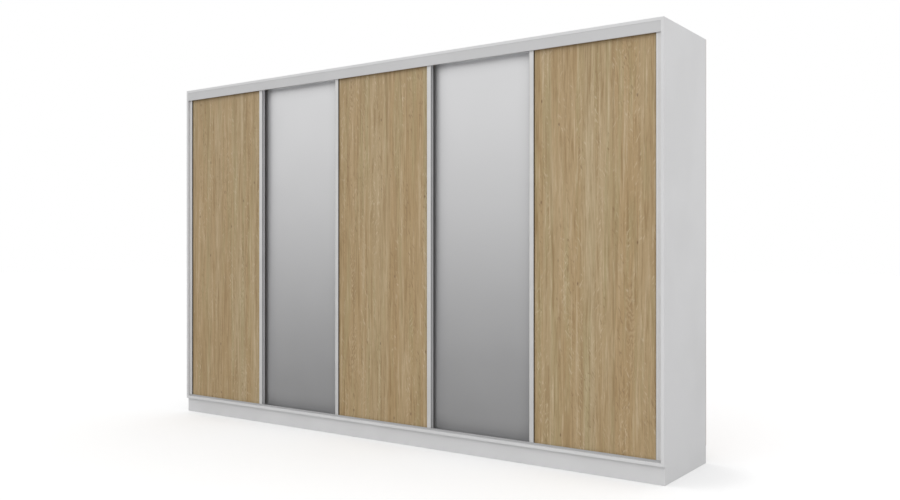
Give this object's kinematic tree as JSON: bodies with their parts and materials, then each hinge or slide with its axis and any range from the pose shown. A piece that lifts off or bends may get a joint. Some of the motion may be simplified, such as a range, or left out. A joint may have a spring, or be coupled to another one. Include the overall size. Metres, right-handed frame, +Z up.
{
  "type": "sliding door wardrobe",
  "caption": "Free-standing wardrobe with overlapping oak and satin-mirror sliding doors on double tracks, over bays with shelves and hanging rails.",
  "frame": {"origin": "centre of the footprint at floor level", "axes": "+X to the right along the front, -Y out of the front, +Y to the wall, +Z up"},
  "size_m": [3.6, 0.6, 2.3],
  "materials": {
    "white_laminate": "white melamine-faced chipboard with edge banding, fine matt texture",
    "oak_laminate": "oak decor laminate with vertical grain, matt",
    "satin_mirror": "satin (acid-etched) silvered glass",
    "backing_laminate": "grey melamine-faced chipboard",
    "hardboard": "3 mm hardboard, white-lacquered inside, raw brown behind",
    "stile_aluminium": "silver satin anodised extrusion",
    "track_aluminium": "silver anodised extrusion",
    "brush_pile": "grey polypropylene pile",
    "carriage_steel": "zinc-plated pressed steel",
    "wheel_nylon": "natural nylon",
    "guide_plastic": "dark grey acetal",
    "chrome": "bright chrome plate",
    "zinc_steel": "zinc-plated steel"
  },
  "bodies": {
    "carcass": {"left_side_panel": "white_laminate", "right_side_panel": "white_laminate", "partitions": "white_laminate", "top_panel": "white_laminate", "bottom_panel": "white_laminate", "top_fascia": "white_laminate", "plinth_front_board": "white_laminate", "plinth_rear_board": "white_laminate", "plinth_cross_boards": "white_laminate", "shelves": "white_laminate", "back_sheets": "hardboard", "upper_track": "track_aluminium", "lower_track": "track_aluminium", "shelf_pins": "zinc_steel", "cam_connectors": "zinc_steel", "track_screws": "zinc_steel", "hanging_rails": "chrome", "rail_sockets": "chrome"},
    "door_1": {"door_1_left_stile": "stile_aluminium", "door_1_right_stile": "stile_aluminium", "door_1_brush_seals": "brush_pile", "door_1_roller_carriages": "carriage_steel", "door_1_top_guides": "guide_plastic", "door_1_oak_panel": "oak_laminate"},
    "door_1_left_wheel": {"door_1_left_wheel": "wheel_nylon"},
    "door_1_right_wheel": {"door_1_right_wheel": "wheel_nylon"},
    "door_2": {"door_2_left_stile": "stile_aluminium", "door_2_right_stile": "stile_aluminium", "door_2_brush_seals": "brush_pile", "door_2_roller_carriages": "carriage_steel", "door_2_top_guides": "guide_plastic", "door_2_mirror": "satin_mirror", "door_2_backing_board": "backing_laminate"},
    "door_2_left_wheel": {"door_2_left_wheel": "wheel_nylon"},
    "door_2_right_wheel": {"door_2_right_wheel": "wheel_nylon"},
    "door_3": {"door_3_left_stile": "stile_aluminium", "door_3_right_stile": "stile_aluminium", "door_3_brush_seals": "brush_pile", "door_3_roller_carriages": "carriage_steel", "door_3_top_guides": "guide_plastic", "door_3_oak_panel": "oak_laminate"},
    "door_3_left_wheel": {"door_3_left_wheel": "wheel_nylon"},
    "door_3_right_wheel": {"door_3_right_wheel": "wheel_nylon"},
    "door_4": {"door_4_left_stile": "stile_aluminium", "door_4_right_stile": "stile_aluminium", "door_4_brush_seals": "brush_pile", "door_4_roller_carriages": "carriage_steel", "door_4_top_guides": "guide_plastic", "door_4_mirror": "satin_mirror", "door_4_backing_board": "backing_laminate"},
    "door_4_left_wheel": {"door_4_left_wheel": "wheel_nylon"},
    "door_4_right_wheel": {"door_4_right_wheel": "wheel_nylon"},
    "door_5": {"door_5_left_stile": "stile_aluminium", "door_5_right_stile": "stile_aluminium", "door_5_brush_seals": "brush_pile", "door_5_roller_carriages": "carriage_steel", "door_5_top_guides": "guide_plastic", "door_5_oak_panel": "oak_laminate"},
    "door_5_left_wheel": {"door_5_left_wheel": "wheel_nylon"},
    "door_5_right_wheel": {"door_5_right_wheel": "wheel_nylon"}
  },
  "joints": [
    {"name": "door_1_slide", "type": "slide", "parent": "carcass", "child": "door_1", "axis": [1, 0, 0], "range_m": [0, 0.656]},
    {"name": "door_1_left_wheel_spin", "type": "hinge", "parent": "door_1", "child": "door_1_left_wheel", "pos_m": [-1.695, -0.2639, 0.1303], "axis": [0, 1, 0], "range_deg": [0, 2897]},
    {"name": "door_1_right_wheel_spin", "type": "hinge", "parent": "door_1", "child": "door_1_right_wheel", "pos_m": [-1.121, -0.2639, 0.1303], "axis": [0, 1, 0], "range_deg": [0, 2897]},
    {"name": "door_2_slide", "type": "slide", "parent": "carcass", "child": "door_2", "axis": [1, 0, 0], "range_m": [-0.704, 0.656]},
    {"name": "door_2_left_wheel_spin", "type": "hinge", "parent": "door_2", "child": "door_2_left_wheel", "pos_m": [-0.991, -0.2299, 0.1303], "axis": [0, 1, 0], "range_deg": [-3108, 2897]},
    {"name": "door_2_right_wheel_spin", "type": "hinge", "parent": "door_2", "child": "door_2_right_wheel", "pos_m": [-0.417, -0.2299, 0.1303], "axis": [0, 1, 0], "range_deg": [-3108, 2897]},
    {"name": "door_3_slide", "type": "slide", "parent": "carcass", "child": "door_3", "axis": [1, 0, 0], "range_m": [-0.656, 0.656]},
    {"name": "door_3_left_wheel_spin", "type": "hinge", "parent": "door_3", "child": "door_3_left_wheel", "pos_m": [-0.287, -0.2639, 0.1303], "axis": [0, 1, 0], "range_deg": [-2897, 2897]},
    {"name": "door_3_right_wheel_spin", "type": "hinge", "parent": "door_3", "child": "door_3_right_wheel", "pos_m": [0.287, -0.2639, 0.1303], "axis": [0, 1, 0], "range_deg": [-2897, 2897]},
    {"name": "door_4_slide", "type": "slide", "parent": "carcass", "child": "door_4", "axis": [1, 0, 0], "range_m": [-0.656, 0.704]},
    {"name": "door_4_left_wheel_spin", "type": "hinge", "parent": "door_4", "child": "door_4_left_wheel", "pos_m": [0.417, -0.2299, 0.1303], "axis": [0, 1, 0], "range_deg": [-2897, 3108]},
    {"name": "door_4_right_wheel_spin", "type": "hinge", "parent": "door_4", "child": "door_4_right_wheel", "pos_m": [0.991, -0.2299, 0.1303], "axis": [0, 1, 0], "range_deg": [-2897, 3108]},
    {"name": "door_5_slide", "type": "slide", "parent": "carcass", "child": "door_5", "axis": [1, 0, 0], "range_m": [-0.656, 0]},
    {"name": "door_5_left_wheel_spin", "type": "hinge", "parent": "door_5", "child": "door_5_left_wheel", "pos_m": [1.121, -0.2639, 0.1303], "axis": [0, 1, 0], "range_deg": [-2897, 0]},
    {"name": "door_5_right_wheel_spin", "type": "hinge", "parent": "door_5", "child": "door_5_right_wheel", "pos_m": [1.695, -0.2639, 0.1303], "axis": [0, 1, 0], "range_deg": [-2897, 0]}
  ],
  "couplings": [
    {"joint": "door_1_left_wheel_spin", "follows": "door_1_slide", "rad_per_m": 76.923},
    {"joint": "door_1_right_wheel_spin", "follows": "door_1_slide", "rad_per_m": 76.923},
    {"joint": "door_2_left_wheel_spin", "follows": "door_2_slide", "rad_per_m": 76.923},
    {"joint": "door_2_right_wheel_spin", "follows": "door_2_slide", "rad_per_m": 76.923},
    {"joint": "door_3_left_wheel_spin", "follows": "door_3_slide", "rad_per_m": 76.923},
    {"joint": "door_3_right_wheel_spin", "follows": "door_3_slide", "rad_per_m": 76.923},
    {"joint": "door_4_left_wheel_spin", "follows": "door_4_slide", "rad_per_m": 76.923},
    {"joint": "door_4_right_wheel_spin", "follows": "door_4_slide", "rad_per_m": 76.923},
    {"joint": "door_5_left_wheel_spin", "follows": "door_5_slide", "rad_per_m": 76.923},
    {"joint": "door_5_right_wheel_spin", "follows": "door_5_slide", "rad_per_m": 76.923}
  ]
}
